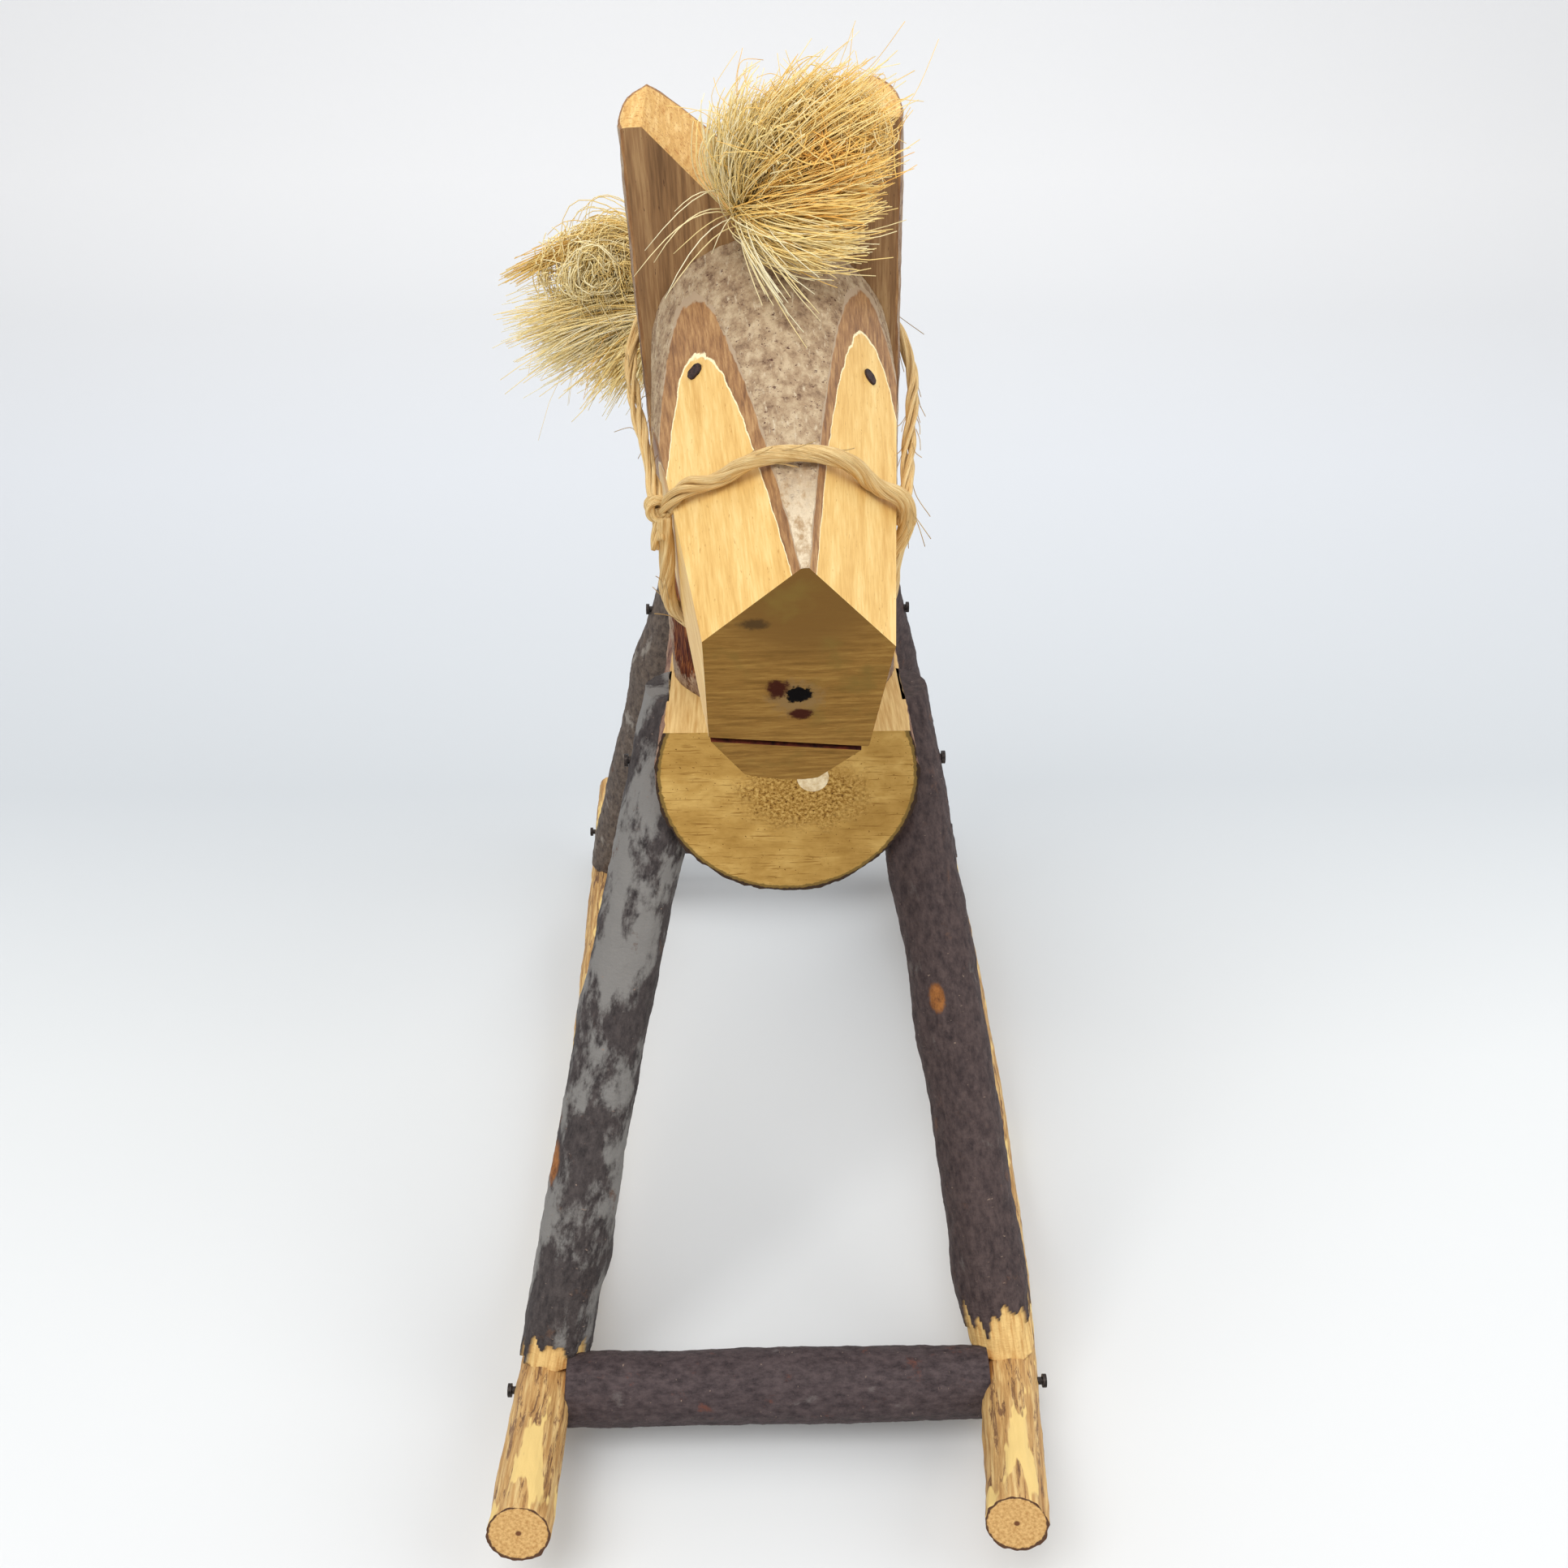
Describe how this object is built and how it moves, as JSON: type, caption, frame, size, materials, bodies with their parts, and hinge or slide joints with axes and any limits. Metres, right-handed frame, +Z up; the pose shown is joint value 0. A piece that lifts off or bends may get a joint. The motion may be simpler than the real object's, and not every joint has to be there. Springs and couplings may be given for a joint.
{
  "type": "rocking horse",
  "caption": "Small rustic rocking horse of branch wood: log body, neck and head, splayed legs nailed to two bowed rockers, fibre tufts and a cord bridle.",
  "frame": {"origin": "middle of the bottom of the bounding box: on the floor, midway along the length and the width", "axes": "+Z up, the horse faces -Y, +X is on the horse's own left"},
  "size_m": [0.1388, 0.3276, 0.304],
  "materials": {
    "log_bark": "rough bark, sawn and planed wood at the cuts",
    "head_wood": "planed pale wood with bark left on top",
    "pale_dowel": "smooth turned wood",
    "dark_bark": "dark branch bark",
    "peeled_branch": "peeled branch with streaks of inner bark",
    "eye_peg": "dark stained peg",
    "nail_iron": "dull dark wire nail",
    "plant_fibre": "natural plant fibre"
  },
  "bodies": {
    "root": {"body_log": "log_bark", "chest_plug": "pale_dowel", "neck_post": "log_bark", "neck_dowel": "pale_dowel", "head_log": "head_wood", "head_dowel": "pale_dowel", "left_eye": "eye_peg", "right_eye": "eye_peg", "front_left_leg": "dark_bark", "front_right_leg": "dark_bark", "rear_left_leg": "dark_bark", "rear_right_leg": "dark_bark", "left_rocker": "peeled_branch", "right_rocker": "peeled_branch", "front_crossbar": "dark_bark", "rear_crossbar": "dark_bark", "leg_nails": "nail_iron", "foot_nails": "nail_iron", "crossbar_nails": "nail_iron", "noseband": "plant_fibre", "headstall": "plant_fibre", "left_knot": "plant_fibre", "right_knot": "plant_fibre", "forelock": "plant_fibre", "mane": "plant_fibre", "tail": "plant_fibre"}
  },
  "joints": []
}
